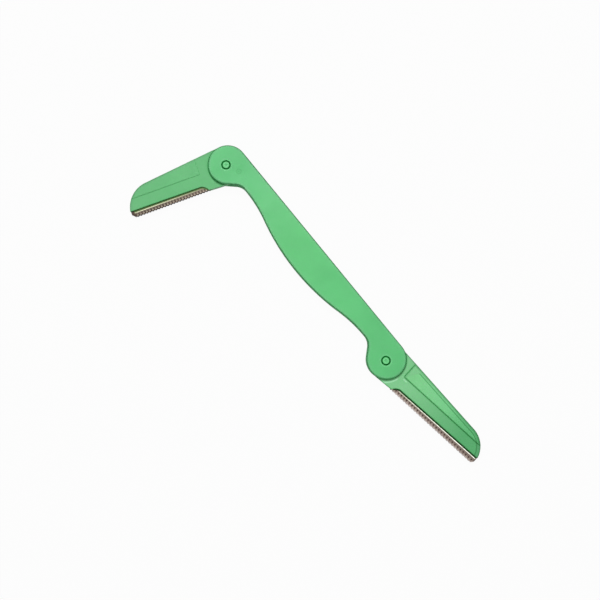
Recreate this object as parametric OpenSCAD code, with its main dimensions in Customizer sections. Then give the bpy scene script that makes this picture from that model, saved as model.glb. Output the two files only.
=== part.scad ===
// Folding two-ended eyebrow razor: a slotted plastic handle with a blade head
// hinged at each end. The long head is drawn fully open and the short head
// part open. Both fold edge-first into the slot along the handle's belly.
//
// Frame: the origin is on the back face, midway between the two pivots.
// +X runs to the long head's pivot, +Y to the spine and +Z to the front face.
//
// A head is drawn in its own frame: its pivot is the origin, +X runs along the
// cutting edge to the nose and +Y to the spine. The short head is the same
// form in other sizes, drawn in the mirror image of the handle's frame.

/* [Handle] */
// Distance between the two pivots
pivot_span = 95; // [88:1:125]
// Thickness over both cheeks
handle_t = 5; // [4.6:0.1:6.4]
// Width of the slot between the cheeks
slot_w = 2.6; // [2.4:0.1:3]
// Radius of the round cheeks at the pivots
disc_r = 7.5; // [7.4:0.1:8.4]
// Distance from a pivot in to the centre of its round cheek
disc_in = 0.25; // [0:0.05:0.6]
// Height of the round cheek's centre above the pivot
disc_rise = 0.55; // [0.35:0.05:0.6]
// Thickness of the wall that joins the cheeks along the spine
web_t = 1; // [0.7:0.05:1.05]
// Depth of the belly below the line of the pivots
belly_drop = 4.8; // [4:0.1:6]
// Depth of the neck's edge below the line of the pivots
neck_drop = 0.26; // [0.1:0.02:1]
// Radius of the hollow between the neck and a round cheek
neck_r = 5.3; // [4.5:0.1:6]
// Angle between a round cheek's straight flank and a line square to the spine
flank_angle = 43; // [40:1:46]
// Width of the bevel round the outer faces
rim = 0.35; // [0.2:0.05:0.5]

/* [Pivots] */
// Diameter of a pivot pin
pin_d = 3; // [2.4:0.1:3.4]
// Width of the bevel on a pin's ends
pin_bevel = 0.3; // [0.2:0.05:0.4]
// Radius of the dimple in a pin's ends
dimple_r = 0.55; // [0.3:0.05:0.8]
// Radial running gap between a pin and the head that turns on it
run_gap = 0.06; // [0.04:0.01:0.1]

/* [Heads] */
// Gap between a head and each cheek
slide_gap = 0.15; // [0.1:0.01:0.25]
// Width of the slope from a holder's raised panel to the spine and nose
panel_slope = 1.4; // [0.8:0.05:1.8]
// Radius of the hub, where a head is thinner, to turn between the cheeks
hub_r = 8.1; // [7.9:0.1:8.6]
// Radius of the heel that turns between the cheeks
heel_r = 5.8; // [5.2:0.1:5.9]
// Angle of an open head's cutting edge from the line of the pivots
open_tilt = 8.5; // [6:0.5:11]
// Angle from fully open at which the short head is drawn
short_fold = 79.6; // [0:0.1:170]

/* [Long head] */
// Distance from the pivot to the nose
long_reach = 49.5; // [44:0.1:54]
// Distance from the pivot down to the cutting edge
long_edge = 6.75; // [6.4:0.05:7]
// Height of the spine above the pivot
long_spine = 7.75; // [7.4:0.05:7.9]
// Angle between the spine and the cutting edge
long_taper = 6.15; // [5:0.05:7]
// Radius of the nose
long_nose_r = 9.3; // [8:0.1:10]
// Width of the steel that shows at the heel end
long_band = 2.35; // [2:0.05:2.6]
// Width of the steel that shows at the nose
long_band_nose = 2.9; // [2.6:0.05:3.1]
// Distance from the pivot to where the steel begins to show
long_blade_start = 8.8; // [8:0.1:10]
// Size of the cut corner at the blade's tip
long_corner = 1; // [0.6:0.1:1.4]
// Distance from one slot of the guard to the next
long_pitch = 1.34; // [1.1:0.02:1.6]
// Length of bare blade past the guard at the nose
long_bare = 0.3; // [0.3:0.1:1.5]
// Height of the raised panel above the rest of the holder
long_step = 0.5; // [0.3:0.05:0.7]
// Distance from the pivot to the raised panel
long_panel = 9.2; // [9:0.1:10]

/* [Short head] */
// Distance from the pivot to the nose
short_reach = 40.1; // [35:0.1:43]
// Distance from the pivot down to the cutting edge
short_edge = 6.75; // [6.4:0.05:7]
// Height of the spine above the pivot
short_spine = 7.65; // [7.3:0.05:7.8]
// Angle between the spine and the cutting edge
short_taper = 6.05; // [5:0.05:7]
// Radius of the nose
short_nose_r = 10.2; // [9:0.1:11]
// Width of the steel that shows at the heel end
short_band = 2.4; // [2:0.05:2.6]
// Width of the steel that shows at the nose
short_band_nose = 2.6; // [2.4:0.05:2.9]
// Distance from the pivot to where the steel begins to show
short_blade_start = 9.3; // [8:0.1:10]
// Size of the cut corner at the blade's tip
short_corner = 1.2; // [0.8:0.1:1.6]
// Distance from one slot of the guard to the next
short_pitch = 1.2; // [1.1:0.02:1.5]
// Length of bare blade past the guard at the nose
short_bare = 1.2; // [0.3:0.1:1.5]
// Height of the raised panel above the rest of the holder
short_step = 0.15; // [0.1:0.05:0.4]
// Distance from the pivot to the raised panel
short_panel = 10.6; // [9:0.1:11]

/* [Steel] */
// Thickness of a blade
blade_t = 0.25; // [0.2:0.01:0.3]
// Thickness of the guard's sheet
guard_t = 0.15; // [0.1:0.01:0.18]
// Width of a slot in the guard
guard_slot = 0.55; // [0.4:0.05:0.7]
// How far the guard's slots reach up from its fold
slot_reach = 1.35; // [1.2:0.05:1.7]

/* [Hidden] */
$fn = 96;

// Past a face, for clean cuts
overrun = 0.5;

// Handle
pivot_x = pivot_span / 2;
disc_x = pivot_x - disc_in;
// The spine lies this far below the top of the round cheeks
crown = 0.01;
spine_y = disc_rise + disc_r - crown;
cheek_t = (handle_t - slot_w) / 2;
mid_z = handle_t / 2;
web_y = spine_y - web_t;
// Gap between an open head's shoulder and the end of the spine wall, its stop
stop_play = 0.05;
// Rounded walls that run into each other cross by this much, to meet in an edge
meet = 0.01;
// A round cheek's flank: its outward direction, and how far it lies from the cheek's centre
flank_way = [-cos(flank_angle), -sin(flank_angle)];
flank_out = disc_r - meet;
// The hollow beyond it: its circle crosses the flank and the neck
hollow_y = -neck_drop - neck_r + meet;
hollow_x = disc_x + (flank_out + neck_r - meet - (hollow_y - disc_rise) * flank_way.y) / flank_way.x;
flank_len = (disc_x - hollow_x) * sin(flank_angle) + (hollow_y - disc_rise) * cos(flank_angle);
// The belly is a bulge that runs into a hollow neck, as two arcs that cross
belly_rise = belly_drop - neck_drop;
belly_radii = (pow(hollow_x, 2) / belly_rise + belly_rise) / 2 * (1 + meet / belly_rise);
bulge_share = 0.633;
bulge_r = belly_radii * bulge_share;
saddle_r = belly_radii - bulge_r;
saddle_y = -neck_drop - saddle_r;
// From the hollow neck's centre towards the bulge's, as a unit direction
belly_span = norm([hollow_x, belly_radii - belly_rise]);
belly_way = [-hollow_x, belly_radii - belly_rise] / belly_span;
neck_reach = 4;
// The shallow round gate mark on the front
gate_r = 1.1;
gate_depth = 0.04;
gate_x = 5;
gate_y = 2.2;

// Pins
pin_r = pin_d / 2;
pin_fit = 0.02;
hole_bevel = 0.3;
dimple_depth = 0.12;

// Heads
holder_t = slot_w - 2 * slide_gap;
base_h = holder_t / 2;
// How far the hub lies below the rest of a head, and the width of the slope up from it
hub_drop = 0.15;
hub_slope = 0.3;
// The root between the hub and the steel, whose lower edge runs down towards the pivot
root_x = 1.2;
root_rise = 0.25;
root_tilt = 3;
// Length and radius of the sweep from the root up to the lip
cove_len = 2.5;
cove_r = 3.6;
// Height of the raised panel's lower edge above the pivot
panel_y = 0.25;
// Height of the foot of the slope from the panel to the spine, above the flat
slope_foot = 0.05;

// Steel
seat_gap = 0.01;
side_gap = 0.05;
blade_in = 1;
guard_in = 0.5;
// How far steel and guard reach up behind the lip
blade_tuck = 3.1;
guard_tuck = 0.8;
grind_w = 0.75;
fold_gap = 0.04;
tip_gap = 0.2;
// How far the blade's hidden corner at the nose is cut back
tip_slant = 2.4;
peg_r = 0.5;
peg_fit = 0.04;
peg_root = 0.2;
peg_drop = 1.05;
peg_shares = [0.14, 0.48, 0.82];
socket_depth = 0.5;
socket_room = 0.06;

// A head's sizes, in the order that the functions below read them
LONG = [long_reach, long_edge, long_spine, long_taper, long_nose_r, long_band,
        long_band_nose, long_blade_start, long_corner, long_pitch, long_bare, long_step,
        long_panel];
SHORT = [short_reach, short_edge, short_spine, short_taper, short_nose_r, short_band,
         short_band_nose, short_blade_start, short_corner, short_pitch, short_bare,
         short_step, short_panel];
function reach(h) = h[0];
function edge_y(h) = -h[1];
function spine_at(h, x) = h[2] - x * tan(h[3]);
function taper(h) = h[3];
function nose_r(h) = h[4];
function lip_y0(h) = edge_y(h) + h[5];
function lip_y1(h) = edge_y(h) + h[6];
function start_x(h) = h[7];
function corner(h) = h[8];
function pitch(h) = h[9];
function bare(h) = h[10];
function panel_step(h) = h[11];
function panel_h(h) = base_h + panel_step(h);
function panel_x(h) = h[12];
function root_y(h) = edge_y(h) + root_rise;
function nose_x(h) = reach(h) - nose_r(h);
function nose_y(h) = spine_at(h, nose_x(h)) - (nose_r(h) - meet) / cos(taper(h));
function lip_x0(h) = start_x(h) + cove_len;
function lip_at(h, x) = lip_y0(h) + (lip_y1(h) - lip_y0(h)) * (x - lip_x0(h)) / (reach(h) - lip_x0(h));
// The shoulder that meets the stop stands square to the handle when the head is open
function shoulder_top(h) =
    (h[2] + stop_play * (sin(open_tilt) - cos(open_tilt) * tan(taper(h))))
    / (cos(open_tilt) + sin(open_tilt) * tan(taper(h)));
function on_shoulder(height) =
    [stop_play * cos(open_tilt) + height * sin(open_tilt),
     height * cos(open_tilt) - stop_play * sin(open_tilt)];
function tip_x(h) = reach(h) - tip_gap;
function guard_end(h) = tip_x(h) - bare(h);
function blade_top(h) = lip_y1(h) + blade_tuck;
function guard_top(h) = lip_y1(h) + guard_tuck;

// A disc with both rims bevelled
module bevelled_disc(r, height, bevel) {
    rotate_extrude()
        polygon([[0, 0], [r - bevel, 0], [r, bevel], [r, height - bevel],
                 [r - bevel, height], [0, height]]);
}

// The cut that leaves a bevelled hollow of the same kind
module flared_cut(r, height, bevel) {
    rotate_extrude()
        polygon([[0, -overrun], [r + bevel + overrun, -overrun], [r, bevel],
                 [r, height - bevel], [r + bevel + overrun, height + overrun],
                 [0, height + overrun]]);
}

// The bar along the spine, above the line of the pivots
module spine_bar() {
    rotate([90, 0, 90])
        translate([0, 0, -disc_x])
            linear_extrude(2 * disc_x)
                polygon([[0, 0], [spine_y - rim, 0], [spine_y, rim],
                         [spine_y, handle_t - rim], [spine_y - rim, handle_t],
                         [0, handle_t]]);
}

// The bulge of the belly, in the middle of the handle
module belly_bulge() {
    reach_x = hollow_x * bulge_share + neck_reach;
    intersection() {
        translate([0, bulge_r - belly_drop, 0])
            bevelled_disc(bulge_r, handle_t, rim);
        translate([-reach_x, -belly_drop - overrun, 0])
            cube([2 * reach_x, belly_drop + 2 * overrun, handle_t]);
    }
}

// The straight flank of a round cheek, from the cheek's centre out
module flank() {
    translate([disc_x, disc_rise, 0])
        rotate([90, 0, flank_angle + 180])
            linear_extrude(flank_len + neck_reach / 2)
                polygon([[0, 0], [flank_out - rim, 0], [flank_out, rim],
                         [flank_out, handle_t - rim], [flank_out - rim, handle_t],
                         [0, handle_t]]);
}

// The hollow neck between the bulge and the long head's cheek
module neck() {
    centre = [hollow_x, saddle_y];
    difference() {
        union() {
            linear_extrude(handle_t)
                polygon([centre + (saddle_r - neck_reach) * belly_way,
                         centre + (saddle_r + neck_reach) * belly_way,
                         [hollow_x, hollow_y] - (flank_out + neck_r) * flank_way,
                         [hollow_x, hollow_y]]);
            flank();
        }
        intersection() {
            translate([hollow_x, saddle_y, 0])
                flared_cut(saddle_r, handle_t, rim);
            translate([0, -belly_drop - neck_reach, -overrun])
                cube([hollow_x, belly_drop + neck_reach, handle_t + 2 * overrun]);
        }
        translate([hollow_x, hollow_y, 0])
            flared_cut(neck_r, handle_t, rim);
    }
}

module handle_body() {
    spine_bar();
    belly_bulge();
    for (side = [0, 1])
        mirror([side, 0, 0]) {
            neck();
            translate([disc_x, disc_rise, 0])
                bevelled_disc(disc_r, handle_t, rim);
        }
}

// The slot: all that lies between the cheeks but the spine wall
module slot() {
    far = pivot_x + disc_r + overrun;
    translate([0, 0, cheek_t])
        linear_extrude(slot_w)
            difference() {
                translate([-far, -far])
                    square(2 * far);
                translate([-pivot_x, web_y])
                    square([2 * pivot_x, far]);
            }
}

// A pin's hole through both cheeks, with a bevel at each face
module pin_hole() {
    r = pin_r + pin_fit;
    rotate_extrude()
        polygon([[0, -overrun], [r + hole_bevel + overrun, -overrun], [r, hole_bevel],
                 [r, handle_t - hole_bevel], [r + hole_bevel + overrun, handle_t + overrun],
                 [0, handle_t + overrun]]);
}

module handle() {
    color("mediumseagreen")
        difference() {
            handle_body();
            slot();
            for (side = [-1, 1])
                translate([side * pivot_x, 0, 0])
                    pin_hole();
            translate([gate_x - pivot_x, gate_y, handle_t - gate_depth])
                cylinder(h = gate_depth + overrun, r = gate_r);
        }
}

// A pivot pin: bevelled ends, each with a dimple, flush with the cheeks
module pivot_pin() {
    color("seagreen")
        rotate_extrude()
            polygon([[0, dimple_depth], [dimple_r - dimple_depth, dimple_depth],
                     [dimple_r, 0], [pin_r - pin_bevel, 0], [pin_r, pin_bevel],
                     [pin_r, handle_t - pin_bevel], [pin_r - pin_bevel, handle_t],
                     [dimple_r, handle_t], [dimple_r - dimple_depth, handle_t - dimple_depth],
                     [0, handle_t - dimple_depth]]);
}

module short_pivot_pin() {
    translate([-pivot_x, 0, 0])
        pivot_pin();
}

module long_pivot_pin() {
    translate([pivot_x, 0, 0])
        pivot_pin();
}

// Places a head on its pivot: the long head in the handle's frame, fully open
module at_long_pivot() {
    translate([pivot_x, 0, mid_z])
        rotate(open_tilt)
            children();
}

// and the short head in the mirror image of it, folded by its own angle
module at_short_pivot() {
    mirror([1, 0, 0])
        translate([pivot_x, 0, mid_z])
            rotate(open_tilt - short_fold)
                children();
}

// The root below the hub, swept up in a hollow from its corner to the lip
module root_outline(h) {
    run = lip_x0(h) - start_x(h);
    rise = lip_y0(h) - root_y(h);
    chord = norm([run, rise]);
    sink = sqrt(pow(cove_r, 2) - pow(chord / 2, 2)) / chord;
    difference() {
        polygon([[0, 0], [root_x, root_y(h) - (start_x(h) - root_x) * tan(root_tilt)],
                 [start_x(h), root_y(h)], [lip_x0(h) - overrun / 2, root_y(h)],
                 [lip_x0(h) - overrun / 2, 0]]);
        translate([start_x(h) + run / 2 + rise * sink, root_y(h) + rise / 2 - run * sink])
            circle(cove_r);
    }
}

// A holder's outline, square at the nose: heel, root, lip and spine
module holder_outline(h) {
    far_x = reach(h) + overrun;
    lip_x = lip_x0(h) - overrun;
    circle(heel_r);
    root_outline(h);
    polygon([[0, 0], [lip_x, lip_at(h, lip_x)], [far_x, lip_at(h, far_x)],
             [far_x, spine_at(h, far_x)], on_shoulder(shoulder_top(h)), on_shoulder(0)]);
}

// What is cut away above the flat beside the panel
module panel_step_cut(h) {
    far_x = reach(h) + overrun;
    low_y = edge_y(h) - overrun;
    translate([0, 0, base_h])
        linear_extrude(panel_step(h) + overrun)
            polygon([[-far_x, low_y], [far_x, low_y], [far_x, panel_y], [panel_x(h), panel_y],
                     [panel_x(h), far_x], [-far_x, far_x]]);
}

// What is cut away above the hub, up to a round slope
module hub_cut(h) {
    rise = panel_h(h) - base_h + hub_drop + overrun;
    translate([0, 0, base_h - hub_drop])
        rotate_extrude()
            polygon([[0, 0], [hub_r - hub_slope, 0], [hub_r, hub_drop], [hub_r, rise], [0, rise]]);
}

// What is cut away outside the nose, and above the slope from the panel to it and to the spine
module slope_cut(h) {
    foot_z = base_h + slope_foot;
    rise = panel_step(h) - slope_foot;
    past = overrun / rise;
    far = 2 * nose_r(h) + overrun;
    translate([nose_x(h), nose_y(h), 0])
        rotate(-taper(h)) {
            translate([-reach(h), nose_r(h) - meet, foot_z])
                rotate([90, 0, 90])
                    linear_extrude(reach(h) + nose_r(h))
                        polygon([[-panel_slope * (1 + past), rise * (1 + past)],
                                 [panel_slope * past, -rise * past],
                                 [panel_slope, rise * (1 + past)]]);
            intersection() {
                rotate_extrude()
                    polygon([[nose_r(h), -overrun], [nose_r(h), foot_z + meet],
                             [nose_r(h) - panel_slope * (1 + past),
                              foot_z + meet + rise * (1 + past)],
                             [far, foot_z + meet + rise * (1 + past)], [far, -overrun]]);
                translate([0, -far, -2 * overrun])
                    cube([far, 2 * far, panel_h(h) + 4 * overrun]);
            }
        }
}

// A blade's outline
module blade_outline(h) {
    left = start_x(h) - blade_in;
    right = tip_x(h);
    low = edge_y(h) + guard_t + fold_gap;
    polygon([[left, low], [right - corner(h), low], [right, low + corner(h)],
             [right, lip_y1(h)], [right - tip_slant, blade_top(h)], [left, blade_top(h)]]);
}

// The outline of its seat, which is open at the nose
module seat_outline(h) {
    left = start_x(h) - blade_in - side_gap;
    right = tip_x(h) + side_gap;
    low = edge_y(h) + guard_t + fold_gap - side_gap;
    top = blade_top(h) + side_gap;
    polygon([[left, low], [reach(h) + overrun, low], [reach(h) + overrun, lip_y1(h) + side_gap],
             [right, lip_y1(h) + side_gap], [right - tip_slant, top], [left, top]]);
}

// The places of the pegs that hold a blade
module at_pegs(h) {
    left = start_x(h) - blade_in;
    for (share = peg_shares)
        translate([left + (tip_x(h) - left) * share, blade_top(h) - peg_drop, 0])
            children();
}

// Half of a holder, from the middle plane up, with its half of the steel's seat
module holder_half(h) {
    blade_seat = blade_t / 2 + seat_gap;
    guard_seat = blade_seat + guard_t + seat_gap;
    difference() {
        linear_extrude(panel_h(h))
            holder_outline(h);
        panel_step_cut(h);
        hub_cut(h);
        slope_cut(h);
        translate([0, 0, -overrun])
            linear_extrude(overrun + blade_seat)
                seat_outline(h);
        translate([start_x(h) - guard_in - side_gap, edge_y(h) - overrun, -overrun])
            cube([reach(h), guard_top(h) + side_gap - edge_y(h) + overrun,
                  overrun + guard_seat]);
        translate([0, 0, -overrun])
            cylinder(h = panel_h(h) + 2 * overrun, r = pin_r + run_gap);
    }
}

// The front half carries the pegs
module holder_front(h) {
    color("mediumseagreen") {
        holder_half(h);
        at_pegs(h)
            translate([0, 0, -blade_t / 2 - seat_gap - socket_depth])
                cylinder(h = blade_t + 2 * seat_gap + socket_depth + peg_root, r = peg_r);
    }
}

// The back half is the same form turned over, with sockets for them
module holder_back(h) {
    depth = blade_t / 2 + seat_gap + socket_depth + socket_room;
    color("seagreen")
        difference() {
            mirror([0, 0, 1])
                holder_half(h);
            at_pegs(h)
                translate([0, 0, -depth])
                    cylinder(h = depth + overrun, r = peg_r + peg_fit);
        }
}

// A blade: ground to an edge, with holes for the pegs
module blade(h) {
    low = edge_y(h) + guard_t + fold_gap;
    top = blade_top(h);
    left = start_x(h) - blade_in;
    color("silver")
        difference() {
            intersection() {
                translate([left, 0, 0])
                    rotate([90, 0, 90])
                        linear_extrude(tip_x(h) - left)
                            polygon([[low, 0], [low + grind_w, -blade_t / 2],
                                     [top, -blade_t / 2], [top, blade_t / 2],
                                     [low + grind_w, blade_t / 2]]);
                translate([0, 0, -blade_t])
                    linear_extrude(2 * blade_t)
                        blade_outline(h);
            }
            at_pegs(h)
                translate([0, 0, -blade_t])
                    cylinder(h = 2 * blade_t, r = peg_r + peg_fit);
        }
}

// A guard: a sheet folded over the cutting edge, with a row of slots across it
module guard(h) {
    inner_h = blade_t / 2 + seat_gap;
    outer_h = inner_h + guard_t;
    fold_y = edge_y(h) + outer_h;
    left = start_x(h) - guard_in;
    right = guard_end(h);
    tip_corner_x = tip_x(h) - corner(h);
    room = min(right, tip_corner_x) - start_x(h) - guard_slot;
    last = floor(room / pitch(h));
    first_x = start_x(h) + (room + guard_slot - last * pitch(h)) / 2;
    color("gainsboro")
        difference() {
            translate([left, 0, 0])
                rotate([90, 0, 90])
                    linear_extrude(right - left)
                        difference() {
                            folded(fold_y, guard_top(h), outer_h);
                            folded(fold_y, guard_top(h) + overrun, inner_h);
                        }
            translate([tip_corner_x, edge_y(h), -2 * outer_h])
                linear_extrude(4 * outer_h)
                    polygon([[0, 0], [corner(h), corner(h)], [corner(h) + overrun, corner(h)],
                             [corner(h) + overrun, -overrun], [0, -overrun]]);
            for (i = [0:last])
                translate([first_x + i * pitch(h) - guard_slot / 2, edge_y(h) - overrun, -outer_h - overrun])
                    cube([guard_slot, slot_reach + overrun, 2 * (outer_h + overrun)]);
        }
}

// The section of a fold: a round end that runs up to a height
module folded(y, top, r) {
    translate([y, 0])
        circle(r);
    translate([y, -r])
        square([top - y, 2 * r]);
}

module short_holder_front() {
    at_short_pivot()
        holder_front(SHORT);
}

module short_holder_back() {
    at_short_pivot()
        holder_back(SHORT);
}

module short_blade() {
    at_short_pivot()
        blade(SHORT);
}

module short_guard() {
    at_short_pivot()
        guard(SHORT);
}

module long_holder_front() {
    at_long_pivot()
        holder_front(LONG);
}

module long_holder_back() {
    at_long_pivot()
        holder_back(LONG);
}

module long_blade() {
    at_long_pivot()
        blade(LONG);
}

module long_guard() {
    at_long_pivot()
        guard(LONG);
}

handle();
short_pivot_pin();
long_pivot_pin();
short_holder_front();
short_holder_back();
short_blade();
short_guard();
long_holder_front();
long_holder_back();
long_blade();
long_guard();
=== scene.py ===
"""The looks of a folding two-ended eyebrow razor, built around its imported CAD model.

The razor lies on its back on a pale floor, front face up, with the camera above it.
"""

import cmath
import math

import bpy
from mathutils import Matrix, Vector


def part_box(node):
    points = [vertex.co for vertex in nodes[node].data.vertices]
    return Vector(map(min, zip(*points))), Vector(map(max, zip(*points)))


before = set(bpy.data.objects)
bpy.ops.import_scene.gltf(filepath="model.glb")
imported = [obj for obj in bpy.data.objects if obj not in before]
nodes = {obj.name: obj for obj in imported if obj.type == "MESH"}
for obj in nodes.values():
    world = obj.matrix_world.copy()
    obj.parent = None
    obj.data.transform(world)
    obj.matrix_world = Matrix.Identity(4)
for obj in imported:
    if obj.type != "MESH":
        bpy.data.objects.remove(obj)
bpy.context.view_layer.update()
MM = 0.001

# The photograph: its size, and where the middles of the two pivots are in it
PHOTO_SIZE = 600
SHORT_PIVOT_PX = complex(225.95, 164.8)
LONG_PIVOT_PX = complex(386.0, 360.7)

# The camera: its lens, how far it leans down the picture from straight above, and how far that
# way turns to the left
LENS_MM = 50
SENSOR_MM = 36
CLIP_START = 0.01
LEAN = math.radians(4)
LEAN_LEFT = math.radians(3)
AIM_ROUNDS = 12


def top_middle(node):
    """The middle of the top of a node's box."""
    low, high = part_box(node)
    return Vector(((low.x + high.x) / 2, (low.y + high.y) / 2, high.z))


SHORT_PIVOT = top_middle("short_pivot_pin")
LONG_PIVOT = top_middle("long_pivot_pin")
MIDDLE = (SHORT_PIVOT + LONG_PIVOT) / 2


def add_object(name, data):
    """A new object in the scene, for a mesh, a lamp or a camera."""
    made = bpy.data.objects.new(name, data)
    bpy.context.scene.collection.objects.link(made)
    return made


# Camera


def seen(camera_matrix, point):
    """Where the camera sees a point, in the photograph's pixels, as x + iy with y downwards."""
    at = camera_matrix.inverted() @ point
    per_px = SENSOR_MM / LENS_MM / PHOTO_SIZE
    return complex(at.x, -at.y) / -at.z / per_px + complex(PHOTO_SIZE, PHOTO_SIZE) / 2


def place_camera():
    """A camera that leans a little and sees both pivots where the photograph has them."""
    data = bpy.data.cameras.new("camera")
    data.lens = LENS_MM
    data.sensor_width = SENSOR_MM
    data.clip_start = CLIP_START
    camera = add_object("camera", data)
    bpy.context.scene.camera = camera

    apart_px = LONG_PIVOT_PX - SHORT_PIVOT_PX
    roll = cmath.phase(apart_px)
    away = (LONG_PIVOT - SHORT_PIVOT).length / abs(apart_px) * PHOTO_SIZE * LENS_MM / SENSOR_MM
    target = MIDDLE.copy()
    lean_way = Matrix.Rotation(LEAN_LEFT, 4, "Z")
    for _ in range(AIM_ROUNDS):
        turn = Matrix.Rotation(roll, 4, "Z") @ lean_way.inverted()
        turn = turn @ Matrix.Rotation(LEAN, 4, "X") @ lean_way
        matrix = Matrix.Translation(target) @ turn @ Matrix.Translation((0, 0, away))
        short, long = seen(matrix, SHORT_PIVOT), seen(matrix, LONG_PIVOT)
        error = apart_px / (long - short)
        roll += cmath.phase(error)
        away /= abs(error)
        miss = (short + long - SHORT_PIVOT_PX - LONG_PIVOT_PX) / 2
        miss *= away * SENSOR_MM / LENS_MM / PHOTO_SIZE
        shift = turn @ Vector((miss.real, -miss.imag, 0))
        target += Vector((shift.x, shift.y, 0))
    camera.matrix_world = matrix
    return camera


camera = place_camera()
VIEW_RIGHT = camera.matrix_world.col[0].xyz
VIEW_UP = camera.matrix_world.col[1].xyz


# Colours and node trees


def srgb(red, green, blue):
    """A colour from 0 to 255 as the eye sees it, as the numbers that a shader takes."""
    out = []
    for part in (red, green, blue):
        share = part / 255
        out.append(share / 12.92 if share <= 0.04045 else ((share + 0.055) / 1.055) ** 2.4)
    return (*out, 1)


def tint(*parts):
    """What a colour is multiplied by: one number for all three of its parts, or one for each."""
    red, green, blue = parts * 3 if len(parts) == 1 else parts
    return (red, green, blue, 1)


class Tree:
    """A node tree, with short ways to add to it."""

    def __init__(self, tree):
        self.tree = tree

    def feed(self, socket, value):
        """Links another node's output to a socket, or sets the socket's own value."""
        if isinstance(value, bpy.types.NodeSocket):
            self.tree.links.new(value, socket)
        else:
            socket.default_value = value

    def add(self, kind, inputs=(), **settings):
        """A new node, with its inputs by name or number. Shader nodes go by their short names."""
        made = self.tree.nodes.new(kind if "Node" in kind else "ShaderNode" + kind)
        for name, value in settings.items():
            setattr(made, name, value)
        for name, value in dict(inputs).items():
            self.feed(made.inputs[name], value)
        return made

    def math(self, operation, *values):
        return self.add("Math", dict(enumerate(values)), operation=operation).outputs[0]

    def parts(self, vector):
        """A vector's X, Y and Z."""
        return self.add("SeparateXYZ", {"Vector": vector}).outputs

    def ramp(self, value, low, high, out_low=0, out_high=1):
        """A value taken from one span to another, and held at the ends."""
        inputs = {"Value": value, "From Min": low, "From Max": high,
                  "To Min": out_low, "To Max": out_high}
        return self.add("MapRange", inputs).outputs["Result"]

    def near(self, value, line, full, none):
        """A share that is 1 up to one distance from a line and 0 from a larger distance on."""
        away = self.math("ABSOLUTE", self.math("SUBTRACT", value, line))
        return self.ramp(away, full, none, 1, 0)

    def white_rays(self):
        """1 for the rays that see a white background: the camera's and those of reflections."""
        path = self.add("LightPath").outputs
        share = path["Is Camera Ray"]
        for other in ("Is Glossy Ray", "Is Transmission Ray"):
            share = self.math("MAXIMUM", share, path[other])
        return share


class Material(Tree):
    """A material's node tree, with its shader and the places on its object."""

    # How many rays look for corners and edges
    RAYS = 8

    def __init__(self, name):
        self.material = bpy.data.materials.new(name)
        self.material.use_nodes = True
        super().__init__(self.material.node_tree)
        self.shader = self.tree.nodes["Principled BSDF"]
        self.output = self.tree.nodes["Material Output"]
        self.place = self.add("TexCoord").outputs["Object"]

    def set(self, **values):
        """Sets the shader's own sockets: a name's underlines stand for spaces."""
        for name, value in values.items():
            self.feed(self.shader.inputs[name.replace("_", " ")], value)

    def bump(self, height, strength, distance):
        inputs = {"Height": height, "Strength": strength, "Distance": distance}
        self.set(Normal=self.add("Bump", inputs).outputs["Normal"])

    def noise(self, scale, detail, place=None):
        inputs = {"Vector": place or self.place, "Scale": scale, "Detail": detail}
        return self.add("TexNoise", inputs).outputs["Fac"]

    def mix(self, share, first, second, way="MIX"):
        """One colour with a share of the other laid over it."""
        inputs = {0: share, 6: first, 7: second}
        return self.add("Mix", inputs, data_type="RGBA", blend_type=way).outputs[2]

    def product(self, first, second):
        """One colour times the other."""
        return self.mix(1, first, second, "MULTIPLY")

    def choose(self, share, first, second):
        """The first number where the share is 0, and the second where it is 1."""
        return self.add("Mix", {0: share, 2: first, 3: second}).outputs[0]

    def tones(self, value, stops, low=0, high=1):
        """A run of colours as a value goes from low to high: each stop is a share of that run.

        A ramp holds no part over 1, so brighter runs are stored darker and scaled back.
        """
        if (low, high) != (0, 1):
            value = self.ramp(value, low, high)
        most = max(1, *(part for _, colour in stops for part in colour))
        made = self.add("ValToRGB", {"Fac": value})
        band = made.color_ramp.elements
        while len(band) < len(stops):
            band.new(1)
        for element, (place, colour) in zip(band, stops):
            element.position = place
            element.color = [part / most for part in colour]
        if most == 1:
            return made.outputs["Color"]
        return self.product(made.outputs["Color"], tint(most))

    def distance(self, place, centre):
        """How far a place is, across the razor's flat, from an upright line through a centre."""
        flat = self.add("VectorMath", {0: place, 1: (1, 1, 0)}, operation="MULTIPLY").outputs[0]
        inputs = {0: flat, 1: (*centre, 0)}
        return self.add("VectorMath", inputs, operation="DISTANCE").outputs["Value"]

    def crease(self, reach, hidden, bare):
        """1 in a corner, where little is seen from a surface, and 0 out in the open."""
        inputs = {"Distance": reach}
        open_share = self.add("AmbientOcclusion", inputs, samples=self.RAYS).outputs["AO"]
        return self.ramp(open_share, hidden, bare, 1, 0)

    def facing(self, reach):
        """1 on a face that lies flat, down to 0 on an upright one, and between near an edge."""
        normal = self.add("Bevel", {"Radius": reach}, samples=self.RAYS).outputs["Normal"]
        return self.math("ABSOLUTE", self.parts(normal)["Z"])


# The blade heads' outlines, which some colours follow

# How the heads stand, and the hollow at the steel's root, in mm, as the part's source has them
OPEN_TILT = math.radians(8.5)
SHORT_FOLD = math.radians(79.6)
COVE_LEN = 2.5
COVE_R = 3.6
ROOT_RISE = 0.25


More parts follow.
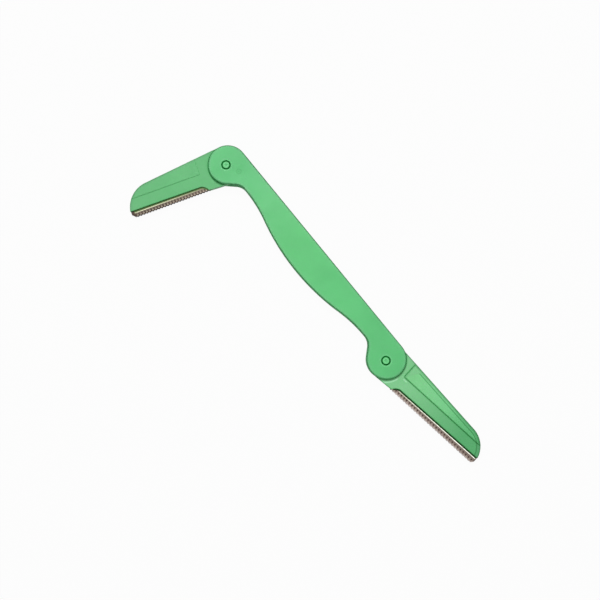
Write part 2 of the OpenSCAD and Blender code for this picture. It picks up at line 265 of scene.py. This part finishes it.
class Head:
    """A blade head: where it stands, and the lines of its outline in its own frame.

    Its frame has x along the cutting edge to the nose, y to the spine and its pivot as origin.
    Lengths come in mm, by the names of the part's source, and are kept in metres.
    """

    def __init__(self, pivot, turn, mirrored, reach, edge, spine, taper, nose_r, band,
                 band_nose, blade_start):
        self.pivot, self.turn, self.mirrored = pivot, turn, mirrored
        self.edge_y = -edge * MM
        self.spine_y, self.taper = spine * MM, math.radians(taper)
        self.nose_r = nose_r * MM
        self.nose_x = (reach - nose_r) * MM
        self.nose_y = self.spine_y - self.nose_x * math.tan(self.taper)
        self.nose_y -= self.nose_r / math.cos(self.taper)
        rise = band - ROOT_RISE
        sink = math.sqrt(COVE_R ** 2 / (COVE_LEN ** 2 + rise ** 2) - 1 / 4)
        self.cove = ((blade_start + COVE_LEN / 2 + rise * sink) * MM,
                     (ROOT_RISE - edge + rise / 2 - COVE_LEN * sink) * MM)
        self.lip_x, self.lip_y = (blade_start + COVE_LEN) * MM, (band - edge) * MM
        self.lip_slope = (band_nose - band) / (reach - blade_start - COVE_LEN)

    def place(self, t):
        """A node output of places in the head's own frame."""
        inputs = {"Vector": t.place, "Location": (self.pivot.x, self.pivot.y, 0),
                  "Rotation": (0, 0, self.turn), "Scale": (-1 if self.mirrored else 1, 1, 1)}
        return t.add("Mapping", inputs, vector_type="TEXTURE").outputs["Vector"]

    def below_lip(self, t, place):
        """How far the steel lies below the plastic's lip, or inside its hollow end."""
        parts = t.parts(place)
        along = t.math("SUBTRACT", parts["X"], self.lip_x)
        line = t.math("MULTIPLY_ADD", along, self.lip_slope, self.lip_y)
        straight = t.math("SUBTRACT", line, parts["Y"])
        hollow = t.math("SUBTRACT", COVE_R * MM, t.distance(place, self.cove))
        return t.choose(t.math("GREATER_THAN", along, 0), hollow, straight)

    def inside_outline(self, t, place):
        """How far a place lies inside the outline of the spine and the nose."""
        parts = t.parts(place)
        line = t.math("MULTIPLY_ADD", parts["X"], -math.tan(self.taper), self.spine_y)
        spine = t.math("MULTIPLY", t.math("SUBTRACT", line, parts["Y"]), math.cos(self.taper))
        round_x = self.nose_x + self.nose_r * math.sin(self.taper)
        nose = t.math("SUBTRACT", self.nose_r, t.distance(place, (self.nose_x, self.nose_y)))
        return t.choose(t.math("GREATER_THAN", parts["X"], round_x), spine, nose)


LONG = Head(LONG_PIVOT, OPEN_TILT, mirrored=False, reach=49.5, edge=6.75, spine=7.75,
            taper=6.15, nose_r=9.3, band=2.35, band_nose=2.9, blade_start=8.8)
# The lines along this head's lip follow a slightly narrower band at the nose than the solid's
SHORT = Head(SHORT_PIVOT, SHORT_FOLD - OPEN_TILT, mirrored=True, reach=40.1, edge=6.75,
             spine=7.65, taper=6.05, nose_r=10.2, band=2.4, band_nose=2.45, blade_start=9.3)


# Green plastic

# Painted shade in corners and creases: its green, and how far it looks
CORNER_SHADE_GREEN = srgb(0, 142, 60)
CORNER_REACH = 1.1 * MM
OPEN_SPECULAR = 0.3
SATIN_ROUGHNESS = (0.4, 0.5)

# The part of a noise's span that is stretched to a whole one, for grain and for clouds
GRAIN_SPREAD = (0.3, 0.7)
CLOUD_SPREAD = (0.35, 0.65)

# Painted shade and highlights along an edge, in the plastic's colour: how far it reaches, and a
# run of tones from an upright face to a flat one. The handle's edges are broad and pale, and the
# holders' narrow and dark.
BROAD_EDGE_PAINTED_LIGHT = (1.8 * MM, ((0.3, tint(0.22, 0.42, 0.29)), (0.7, tint(0.7, 0.62, 0.66)),
                         (0.92, tint(1.25, 0.82, 1.06)), (0.97, tint(1.2, 0.9, 1.08)),
                         (0.985, tint(1.16, 0.96, 1.07)), (0.999, tint(0.9))))
NARROW_EDGE_PAINTED_LIGHT = (0.9 * MM, ((0.3, tint(0.14, 0.42, 0.22)), (0.8, tint(0.34, 0.6, 0.42)),
                          (0.95, tint(0.54, 0.68, 0.58)), (0.98, tint(0.8, 0.84, 0.8)),
                          (0.991, tint(1.02, 1, 1.02)), (0.999, tint(0.9))))


def moulded(t, colour, edge, edge_share=None):
    """Satin plastic over a colour: painted shade and highlights along its edges, painted shade in
    its corners, and its gloss and grain.

    An edge share is how much of the painted shade and highlights along the edges shows, from
    place to place.
    """
    reach, stops = edge
    # Painted shade and highlights along the edges
    painted_edge_light = t.tones(t.facing(reach), stops)
    if edge_share:
        painted_edge_light = t.mix(edge_share, stops[-1][1], painted_edge_light)
    # Painted shade in the corners
    corner_shade = t.crease(CORNER_REACH, hidden=0.5, bare=0.8)
    # The socket's own number is set first, and stays where its link is not kept. The
    # export drops the link to this socket and takes the number
    t.set(Specular_IOR_Level=OPEN_SPECULAR)
    t.set(Base_Color=t.mix(corner_shade, t.product(colour, painted_edge_light), CORNER_SHADE_GREEN),
          Roughness=t.ramp(t.noise(scale=240, detail=3), *GRAIN_SPREAD, *SATIN_ROUGHNESS),
          IOR=1.49,
          Specular_IOR_Level=t.ramp(corner_shade, 0, 0.7, OPEN_SPECULAR, 0),
          Subsurface_Weight=0.1,
          Subsurface_Radius=(0.25, 0.8, 0.35),
          Subsurface_Scale=0.6 * MM)
    t.bump(t.noise(scale=3200, detail=2), strength=0.12, distance=0.02 * MM)
    return t.material


def clouds(t, light, dark):
    """Faint clouds from one colour to another."""
    return t.mix(t.ramp(t.noise(scale=70, detail=3), *CLOUD_SPREAD), dark, light)


# Painted shade in the groove round a pin and in its dimple, with painted highlights on both sides
# of the groove: tones from its middle out to twice its radius
PIN_R = 1.5 * MM
PIN_RING_PAINTED_LIGHT = ((0.04, tint(0.8, 0.95, 0.84)), (0.15, tint(0.95, 1.04, 0.96)),
             (0.27, tint(1.2, 1.34, 1.2)), (0.36, tint(1.2, 1.3, 1.2)),
             (0.44, tint(0.02, 0.66, 0.17)), (0.52, tint(0.02, 0.66, 0.17)),
             (0.61, tint(1.4, 1.35, 1.35)), (0.7, tint(1.2, 1.25, 1.2)), (0.8, tint(1)))

# The gate mark, drawn as painted shade of its shallow recess: tones from its middle out, on what
# lies near the height of the front face
GATE = (-42.5 * MM, 2.2 * MM)
GATE_SPAN = 2 * MM
GATE_PAINTED_SHADE = ((0.1, tint(0.76, 0.86, 0.8)), (0.26, tint(0.94, 0.98, 0.95)),
              (0.42, tint(0.74, 0.84, 0.78)), (0.66, tint(1)))
FRONT_DEPTH = 1 * MM

# Painted light along the handle, a little brighter near the short pivot and darker towards the
# long one: tones from the short pivot to the long one
HANDLE_PAINTED_LIGHT = ((0.02, tint(0.98, 0.95, 0.98)), (0.1, tint(1.06, 0.96, 1.04)),
                (0.25, tint(1.16, 1.02, 1.08)), (0.4, tint(1.12, 1.05, 1.04)),
                (0.62, tint(1.03, 1.02, 1.01)), (0.96, tint(0.94, 0.95, 0.95)))


def painted_pin_rings(t, colour):
    """Painted shade in the groove round each pin, with a painted highlight on both sides, and
    painted shade in its dimple.
    """
    for pivot in (SHORT_PIVOT, LONG_PIVOT):
        far = t.distance(t.place, (pivot.x, pivot.y))
        colour = t.product(colour, t.tones(far, PIN_RING_PAINTED_LIGHT, 0, 2 * PIN_R))
    return colour


def painted_gate_mark(t, colour):
    """The soft round mark that the mould's gate left on the front face, drawn as painted shade of
    its recess.
    """
    tones = t.tones(t.distance(t.place, GATE), GATE_PAINTED_SHADE, 0, GATE_SPAN)
    front = t.math("GREATER_THAN", t.parts(t.place)["Z"], SHORT_PIVOT.z - FRONT_DEPTH)
    return t.mix(front, colour, t.product(colour, tones))


def pinned_plastic(name, light, dark):
    """The plastic of the handle and the pins, with painted light along the handle and painted
    shade and highlights round the pivots and at the gate mark.
    """
    t = Material(name)
    tones = t.tones(t.parts(t.place)["X"], HANDLE_PAINTED_LIGHT, SHORT_PIVOT.x, LONG_PIVOT.x)
    colour = painted_gate_mark(t, t.product(clouds(t, light, dark), tones))
    return moulded(t, painted_pin_rings(t, colour), BROAD_EDGE_PAINTED_LIGHT)


# Both holders: painted shade along the rim, from the outline of the spine and the nose inwards
RIM_SPAN = 2 * MM
RIM_PAINTED_SHADE = ((0.08, tint(0.7)), (0.2, tint(0.94, 0.86, 0.94)), (0.42, tint(1, 0.94, 1)),
             (0.6, tint(1)))

# The long holder: painted shade along the fold line, from the outline inwards; painted light on
# its panel, which starts at a leaning wall, with its brightness along the head; and the two
# painted glints, on the hub's rim and at a corner
FOLD_SPAN = 2.5 * MM
FOLD_PAINTED_LIGHT = ((0.46, tint(0.96)), (0.54, tint(0.42, 0.6, 0.48)), (0.62, tint(0.42, 0.6, 0.48)),
              (0.74, tint(1.05)), (0.9, tint(1)))
PANEL_X = 9.2 * MM
PANEL_LEAN = 0.6
PANEL_WALL = 0.4 * MM
PANEL_EDGE = 0.2 * MM
PANEL_RUN = (12 * MM, 40 * MM)
PANEL_PAINTED_LIGHT = ((0, tint(1, 1.08, 1)), (0.45, tint(1.2)), (0.6, tint(1.3, 1.27, 1.28)),
               (0.75, tint(1.2)), (1, tint(1.24, 1.16, 1.2)))
GLINT = srgb(184, 255, 200)
HUB_GLINT_R = 8.05 * MM
HUB_GLINT_RUN = (-1.6 * MM, -2.2 * MM)
CORNER_GLINT = (10.3 * MM, -0.65 * MM)

# The short holder: how much of its painted edge shade and highlights shows along the head
FADE_RUN = (10 * MM, 38 * MM)
FADE_TONES = ((0.02, tint(0.1)), (0.25, tint(0.5)), (0.6, tint(0.75)), (0.85, tint(0.85)),
              (0.95, tint(0.5)))


def holder_colour(t, head, place, light, dark, nose, nose_run):
    """A head's green, which changes along a run to its nose's, with painted shade along its rim.
    """
    far = t.ramp(t.parts(place)["X"], *nose_run)
    colour = t.mix(far, clouds(t, light, dark), nose)
    return t.product(colour, t.tones(head.inside_outline(t, place), RIM_PAINTED_SHADE, 0, RIM_SPAN))


def fold_shade_and_panel_light(t, place, colour):
    """Painted shade along the long head's fine fold by its spine, and painted light on its panel.
    """
    parts = t.parts(place)
    past_wall = t.math("MULTIPLY_ADD", parts["Y"], -PANEL_LEAN, parts["X"])
    share = t.ramp(past_wall, PANEL_X, PANEL_X + PANEL_WALL)
    fold = t.tones(LONG.inside_outline(t, place), FOLD_PAINTED_LIGHT, 0, FOLD_SPAN)
    colour = t.mix(share, colour, t.product(colour, fold))
    lit = t.math("MULTIPLY", share, t.ramp(parts["Y"], 0, PANEL_EDGE))
    return t.mix(lit, colour, t.product(colour, t.tones(parts["X"], PANEL_PAINTED_LIGHT, *PANEL_RUN)))


def glints(t, place, colour):
    """The two painted glints on the long head: along its hub and under its panel's corner."""
    parts = t.parts(place)
    hub = t.near(t.distance(place, (0, 0)), HUB_GLINT_R, full=0.12 * MM, none=0.4 * MM)
    hub = t.math("MULTIPLY", t.ramp(parts["Y"], *HUB_GLINT_RUN), hub)
    corner_x, corner_y = CORNER_GLINT
    corner = t.math("MULTIPLY",
                    t.near(parts["X"], corner_x, full=0.5 * MM, none=1.2 * MM),
                    t.near(parts["Y"], corner_y, full=0.1 * MM, none=0.3 * MM))
    return t.mix(t.math("MAXIMUM", hub, corner), colour, GLINT)


def long_holder_plastic():
    t = Material("green_long_holder_plastic")
    place = LONG.place(t)
    # Painted shade: this head's green darkens towards its nose
    colour = holder_colour(t, LONG, place, light=srgb(147, 230, 164), dark=srgb(137, 221, 152),
                           nose=srgb(95, 191, 120), nose_run=(14 * MM, 40 * MM))
    return moulded(t, glints(t, place, fold_shade_and_panel_light(t, place, colour)), NARROW_EDGE_PAINTED_LIGHT)


def short_holder_plastic():
    """The painted shade and highlights on this head's edges, as along its panel's shallow step,
    fade out towards the hub and the nose.
    """
    t = Material("green_short_holder_plastic")
    place = SHORT.place(t)
    colour = holder_colour(t, SHORT, place, light=srgb(110, 206, 132), dark=srgb(104, 198, 126),
                           nose=srgb(112, 202, 132), nose_run=(24 * MM, 40 * MM))
    fade = t.tones(t.parts(place)["X"], FADE_TONES, *FADE_RUN)
    return moulded(t, colour, NARROW_EDGE_PAINTED_LIGHT, fade)


# Steel: tones by their height above the cutting edge in mm, holding painted reflections and
# painted shade along with the steel's own colour, its finish and its stains
STEEL_RUN = 4
RIB = srgb(120, 110, 101)
# The steel's own colour with painted light by height: a painted reflection along the long guard's
# fold, painted shade along the short guard's fold, painted shade at the slots' tops on the
# blades, a painted reflection on the long blade's ground edge and painted shade on the short
# blade
LONG_GUARD_STEEL_AND_PAINTED_LIGHT = ((0, srgb(178, 172, 168)), (0.35, srgb(150, 138, 134)), (0.6, RIB),
                    (0.95, RIB), (1.15, srgb(102, 90, 84)))
SHORT_GUARD_STEEL_AND_PAINTED_LIGHT = ((0, srgb(8, 6, 6)), (0.26, srgb(14, 11, 11)), (0.5, srgb(126, 117, 105)),
                     (0.9, srgb(104, 97, 86)), (1.1, srgb(90, 84, 74)))
LONG_BLADE_STEEL_AND_PAINTED_LIGHT = ((0.2, srgb(132, 120, 116)), (0.7, srgb(110, 97, 92)),
                    (0.95, srgb(46, 34, 30)))
SHORT_BLADE_STEEL_AND_PAINTED_LIGHT = ((0.2, srgb(30, 22, 24)), (0.5, srgb(60, 50, 46)), (0.95, srgb(60, 50, 44)))
STEEL_ROUGHNESS = (0.26, 0.42)
STAIN = srgb(84, 70, 64)
STAIN_SPREAD = (0.4, 0.65)
STAIN_MOST = 0.35

# The painted lines under the plastic's lip, a highlight and the lip's shadow: the highlight's
# colour near the root and near the nose, and the shadow's; how far below the lip each ends; and
# where along the lip the highlight starts
LONG_LIP_PAINTED_LIGHT = (srgb(194, 200, 176), srgb(250, 255, 242), srgb(14, 44, 18))
SHORT_LIP_PAINTED_LIGHT = (srgb(106, 103, 83), srgb(190, 188, 162), srgb(64, 84, 50))
HIGHLIGHT_END = (0.67 * MM, 0.86 * MM)
SHADOW_END = (0.48 * MM, 0.66 * MM)
HIGHLIGHT_START = (-0.2 * MM, 0.4 * MM)
# Flecks that break up the painted highlight
FLECKS = ((0.35, tint(0.6, 0.58, 0.54)), (0.6, tint(1)))


def lip_highlight_and_shadow(t, head, place, colour, lip):
    """A painted highlight where the steel catches light below the lip, and the lip's painted
    shadow above it.
    """
    near, far, shade = lip
    x = t.parts(place)["X"]
    below = head.below_lip(t, place)
    bright = t.mix(t.ramp(x, head.lip_x, head.nose_x), near, far)
    bright = t.product(bright, t.tones(t.noise(scale=1500, detail=2), FLECKS))
    past_root = t.ramp(x, *(head.lip_x + past for past in HIGHLIGHT_START))
    share = t.math("MULTIPLY", t.ramp(below, *HIGHLIGHT_END, 1, 0), past_root)
    colour = t.mix(share, colour, bright)
    return t.mix(t.ramp(below, *SHADOW_END, 1, 0), colour, shade)


def steel(name, head, stops, nose_share, lip=None):
    """Rolled sheet steel, darker towards the nose, down to a share of its brightness there."""
    t = Material(name)
    place = head.place(t)
    parts = t.parts(place)
    stops = [(height / STEEL_RUN, tone) for height, tone in stops]
    colour = t.tones(parts["Y"], stops, head.edge_y, head.edge_y + STEEL_RUN * MM)
    darker_at_nose = t.product(colour, tint(nose_share))
    colour = t.mix(t.ramp(parts["X"], head.lip_x, head.nose_x), colour, darker_at_nose)
    spots = t.ramp(t.noise(scale=900, detail=3), *STAIN_SPREAD, 0, STAIN_MOST)
    colour = t.mix(spots, colour, STAIN)
    if lip:
        colour = lip_highlight_and_shadow(t, head, place, colour, lip)
    along = t.add("Mapping", {"Vector": place, "Scale": (0.08, 1, 1)}).outputs["Vector"]
    grain = t.noise(scale=6000, detail=3, place=along)
    t.set(Base_Color=colour, Metallic=1,
          Roughness=t.ramp(grain, *GRAIN_SPREAD, *STEEL_ROUGHNESS))
    t.bump(grain, strength=0.1, distance=0.01 * MM)
    return t.material


handle_green = pinned_plastic("green_handle_plastic", srgb(108, 222, 138), srgb(100, 212, 130))
pin_green = pinned_plastic("green_pin_plastic", srgb(114, 224, 142), srgb(104, 214, 134))
long_green = long_holder_plastic()
short_green = short_holder_plastic()

finishes = {
    "handle": handle_green,
    "short_pivot_pin": pin_green,
    "long_pivot_pin": pin_green,
    "short_holder_front": short_green,
    "short_holder_back": short_green,
    "long_holder_front": long_green,
    "long_holder_back": long_green,
    "short_guard": steel("short_guard_steel", SHORT, SHORT_GUARD_STEEL_AND_PAINTED_LIGHT, 0.85, SHORT_LIP_PAINTED_LIGHT),
    "long_guard": steel("long_guard_steel", LONG, LONG_GUARD_STEEL_AND_PAINTED_LIGHT, 0.95, LONG_LIP_PAINTED_LIGHT),
    "short_blade": steel("short_blade_steel", SHORT, SHORT_BLADE_STEEL_AND_PAINTED_LIGHT, 0.8),
    "long_blade": steel("long_blade_steel", LONG, LONG_BLADE_STEEL_AND_PAINTED_LIGHT, 1),
}
for name, material in finishes.items():
    slots = nodes[name].data.materials
    slots.clear()
    slots.append(material)


# Rounded edges on the moulded pieces

HANDLE_ROUND = 0.35 * MM
SHORT_ROUND = 0.07 * MM
SMALL_ROUND = 0.1 * MM
SHARP_ANGLE = math.radians(30)
FLAT_ANGLE = math.radians(0.3)
WELD_REACH = 0.001 * MM
ROUND_SEGMENTS = 3

# The handle's gate mark is too shallow to round, so it is levelled and its material paints its
# shade
GATE_DEPTH = 0.04 * MM
GATE_WELD = GATE_DEPTH * 1.1

# The low step between each neck and disc lies on the handle's middle line, this far along it
STEP_X, STEP_HALF = 34.5 * MM, 2.3 * MM
ON_MIDDLE = 0.01 * MM


def edges_to_round():
    """Nodes that weigh sharp edges for the bevel, but for the low step by each disc's neck."""
    t = Tree(bpy.data.node_groups.new("edges_to_round", "GeometryNodeTree"))
    for way in ("INPUT", "OUTPUT"):
        t.tree.interface.new_socket("Geometry", in_out=way, socket_type="NodeSocketGeometry")
    parts = t.parts(t.add("GeometryNodeInputPosition").outputs[0])
    off_middle = t.math("GREATER_THAN", t.math("ABSOLUTE", parts["Y"]), ON_MIDDLE)
    from_step = t.math("SUBTRACT", t.math("ABSOLUTE", parts["X"]), STEP_X)
    off_step = t.math("GREATER_THAN", t.math("ABSOLUTE", from_step), STEP_HALF)
    clear = t.math("MAXIMUM", off_middle, off_step)
    angle = t.add("GeometryNodeInputMeshEdgeAngle").outputs[0]
    weight = t.math("MULTIPLY", t.math("GREATER_THAN", angle, SHARP_ANGLE), clear)
    inputs = {"Geometry": t.add("NodeGroupInput").outputs[0], "Name": "bevel_weight_edge",
              "Value": weight}
    store = t.add("GeometryNodeStoreNamedAttribute", inputs, data_type="FLOAT", domain="EDGE")
    t.add("NodeGroupOutput", {0: store.outputs[0]})
    return t.tree


EDGES_TO_ROUND = edges_to_round()


def round_edges(name, width, weld_reach=WELD_REACH):
    """Softens a CAD node's edges with modifiers alone."""
    node = nodes[name]
    weld = node.modifiers.new("weld", "WELD")
    weld.merge_threshold = weld_reach
    flat = node.modifiers.new("flat", "DECIMATE")
    flat.decimate_type = "DISSOLVE"
    flat.angle_limit = FLAT_ANGLE
    node.modifiers.new("weights", "NODES").node_group = EDGES_TO_ROUND
    bevel = node.modifiers.new("round", "BEVEL")
    bevel.width = width
    bevel.segments = ROUND_SEGMENTS
    bevel.limit_method = "WEIGHT"
    bevel.use_clamp_overlap = False
    shade = node.modifiers.new("shade", "WEIGHTED_NORMAL")
    shade.keep_sharp = False


round_edges("handle", HANDLE_ROUND, GATE_WELD)
for side in ("front", "back"):
    round_edges(f"short_holder_{side}", SHORT_ROUND)
    round_edges(f"long_holder_{side}", SMALL_ROUND)
for end in ("short", "long"):
    round_edges(f"{end}_pivot_pin", SMALL_ROUND)


# Floor, light and background

FLOOR_HALF = 1.5
FLOOR_DROP = 0.02 * MM
FLOOR_SHADE = 0.04
FLOOR_GREY = srgb(200, 200, 200)
WHITE = (1, 1, 1, 1)


def make_floor():
    """A pale floor that the camera and reflections see as white, but for a share of its shade."""
    half = FLOOR_HALF
    mesh = bpy.data.meshes.new("floor")
    corner_shade = [(-half, -half, 0), (half, -half, 0), (half, half, 0), (-half, half, 0)]
    mesh.from_pydata(corner_shade, [], [(0, 1, 2, 3)])
    floor = add_object("floor", mesh)
    floor.location.z = -FLOOR_DROP
    t = Material("pale_floor")
    t.set(Base_Color=FLOOR_GREY, Roughness=0.9, Specular_IOR_Level=0.1)
    white = t.add("Emission", {"Strength": 1}).outputs["Emission"]
    share = t.math("MULTIPLY", t.white_rays(), 1 - FLOOR_SHADE)
    inputs = {0: share, 1: t.shader.outputs["BSDF"], 2: white}
    t.feed(t.output.inputs["Surface"], t.add("MixShader", inputs).outputs["Shader"])
    mesh.materials.append(t.material)


def make_world(level):
    """A dim soft world that the camera and reflections see as white."""
    world = bpy.data.worlds.new("world")
    world.use_nodes = True
    bpy.context.scene.world = world
    t = Tree(world.node_tree)
    background = t.tree.nodes["Background"].inputs
    t.feed(background["Color"], WHITE)
    t.feed(background["Strength"], t.ramp(t.white_rays(), 0, 1, level, 1))


def make_lamp(name, sideways, upwards, height, size, watts):
    """A square soft lamp aimed at the razor, placed right and up as the picture shows it."""
    data = bpy.data.lights.new(name, "AREA")
    data.size = size
    data.energy = watts
    lamp = add_object(name, data)
    lamp.location = MIDDLE + VIEW_RIGHT * sideways + VIEW_UP * upwards + Vector((0, 0, height))
    lamp.rotation_euler = (lamp.location - MIDDLE).to_track_quat("Z", "Y").to_euler()


make_floor()
make_world(level=0.2)
make_lamp("key", sideways=-0.05, upwards=0.45, height=0.7, size=0.25, watts=3.2)
make_lamp("top", sideways=-0.1, upwards=-0.1, height=1.0, size=0.8, watts=3.2)
bpy.context.scene.view_settings.view_transform = "Standard"
